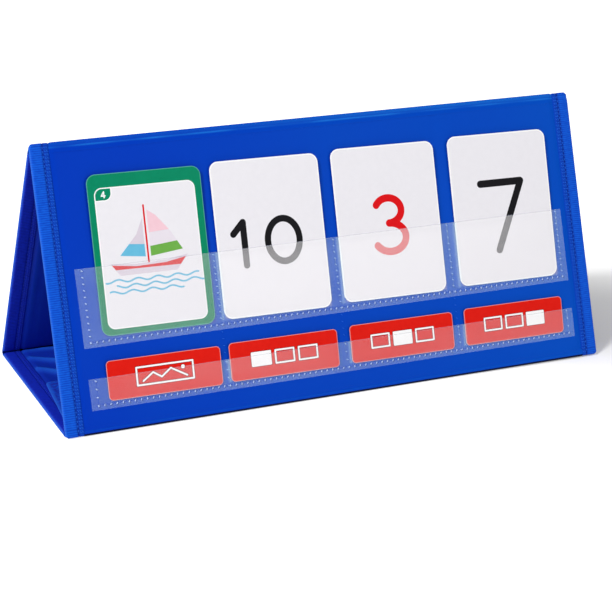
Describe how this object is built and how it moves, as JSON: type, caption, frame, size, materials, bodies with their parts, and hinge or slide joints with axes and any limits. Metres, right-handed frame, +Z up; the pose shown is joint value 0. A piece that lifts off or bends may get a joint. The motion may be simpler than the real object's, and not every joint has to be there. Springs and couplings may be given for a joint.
{
  "type": "tabletop pocket chart",
  "caption": "Fabric tent that stands on a table and shows cards in two rows of clear pockets on its front, folding open at the ridge and the rear edge.",
  "frame": {"origin": "middle of the base, on the surface that the chart stands on", "axes": "+X along the width, -Y is the side with the pockets, +Z up"},
  "size_m": [0.3882, 0.1528, 0.1747],
  "materials": {
    "shell_nylon": "satin coated nylon",
    "lining_nylon": "coated nylon, slightly glossy",
    "grosgrain_tape": "ribbed matt",
    "flap_fabric": "brushed",
    "hook_and_loop": "matt pile",
    "stiffener": "matt",
    "clear_film": "clear, faintly hazy",
    "green_card": "satin print",
    "white_card": "satin print",
    "red_card": "satin print"
  },
  "bodies": {
    "base": {"base_shell_fabric": "shell_nylon", "base_board": "stiffener", "base_lining": "lining_nylon", "base_binding_left": "grosgrain_tape", "base_binding_right": "grosgrain_tape", "base_front_binding": "grosgrain_tape", "rear_fold_fabric": "shell_nylon", "loop_strip_left": "hook_and_loop", "loop_strip_right": "hook_and_loop"},
    "back": {"back_shell_fabric": "shell_nylon", "back_board": "stiffener", "back_lining": "lining_nylon", "back_binding_left": "grosgrain_tape", "back_binding_right": "grosgrain_tape", "ridge_fold_fabric": "shell_nylon"},
    "front": {"front_shell_fabric": "shell_nylon", "front_board": "stiffener", "front_lining": "lining_nylon", "front_binding_left": "grosgrain_tape", "front_binding_right": "grosgrain_tape", "front_hem_fold": "shell_nylon", "card_pocket_film": "clear_film", "label_pocket_film": "clear_film"},
    "flap": {"closure_flap": "flap_fabric", "hook_strip_left": "hook_and_loop", "hook_strip_right": "hook_and_loop"},
    "picture_card": {"picture_card": "green_card"},
    "character_card_1": {"character_card_1": "white_card"},
    "character_card_2": {"character_card_2": "white_card"},
    "character_card_3": {"character_card_3": "white_card"},
    "label_card_1": {"label_card_1": "red_card"},
    "label_card_2": {"label_card_2": "red_card"},
    "label_card_3": {"label_card_3": "red_card"},
    "label_card_4": {"label_card_4": "red_card"}
  },
  "joints": [
    {"name": "base_fold", "type": "hinge", "parent": "base", "child": "back", "pos_m": [0, 0.07459, 0.0018], "axis": [-1, 0, 0], "range_deg": [0, 117]},
    {"name": "ridge_fold", "type": "hinge", "parent": "back", "child": "front", "pos_m": [0, -0.01298, 0.1729], "axis": [-1, 0, 0], "range_deg": [0, 133]},
    {"name": "flap_fold", "type": "hinge", "parent": "front", "child": "flap", "pos_m": [0, -0.06971, 0.0071], "axis": [1, 0, 0], "range_deg": [0, 62]},
    {"name": "picture_card_slide", "type": "slide", "parent": "front", "child": "picture_card", "axis": [0, 0.3261, 0.9453], "range_m": [0, 0.05]},
    {"name": "character_card_1_slide", "type": "slide", "parent": "front", "child": "character_card_1", "axis": [0, 0.3261, 0.9453], "range_m": [0, 0.05]},
    {"name": "character_card_2_slide", "type": "slide", "parent": "front", "child": "character_card_2", "axis": [0, 0.3261, 0.9453], "range_m": [0, 0.05]},
    {"name": "character_card_3_slide", "type": "slide", "parent": "front", "child": "character_card_3", "axis": [0, 0.3261, 0.9453], "range_m": [0, 0.05]},
    {"name": "label_card_1_slide", "type": "slide", "parent": "front", "child": "label_card_1", "axis": [0, 0.2996, 0.9541], "range_m": [0, 0.02]},
    {"name": "label_card_2_slide", "type": "slide", "parent": "front", "child": "label_card_2", "axis": [0, 0.2996, 0.9541], "range_m": [0, 0.02]},
    {"name": "label_card_3_slide", "type": "slide", "parent": "front", "child": "label_card_3", "axis": [0, 0.2996, 0.9541], "range_m": [0, 0.02]},
    {"name": "label_card_4_slide", "type": "slide", "parent": "front", "child": "label_card_4", "axis": [0, 0.2996, 0.9541], "range_m": [0, 0.02]}
  ]
}
